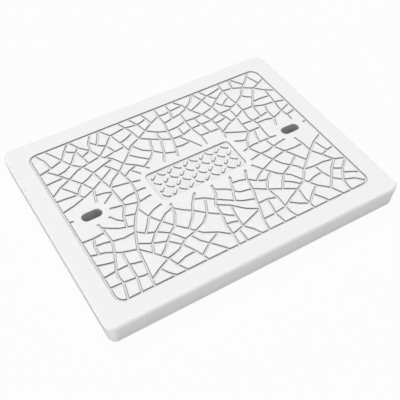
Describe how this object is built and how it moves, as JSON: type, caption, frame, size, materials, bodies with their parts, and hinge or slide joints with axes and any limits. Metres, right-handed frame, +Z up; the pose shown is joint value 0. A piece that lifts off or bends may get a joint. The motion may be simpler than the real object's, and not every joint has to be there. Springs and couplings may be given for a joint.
{
  "type": "cable pit cover",
  "caption": "Rectangular moulded cover for a cable pit, with a crazed grip pattern, a sunk centre plaque and two through slots for lifting keys.",
  "frame": {"origin": "middle of the underside, on the plane that the cover rests on", "axes": "+X along the cover's length, from one lifting slot to the other; +Y across it; +Z up through the patterned face"},
  "size_m": [0.62, 0.48, 0.046],
  "materials": {
    "moulded_polymer": "matte near-white moulding with a very fine grain"
  },
  "bodies": {
    "root": {"pit_cover": "moulded_polymer"}
  },
  "joints": []
}
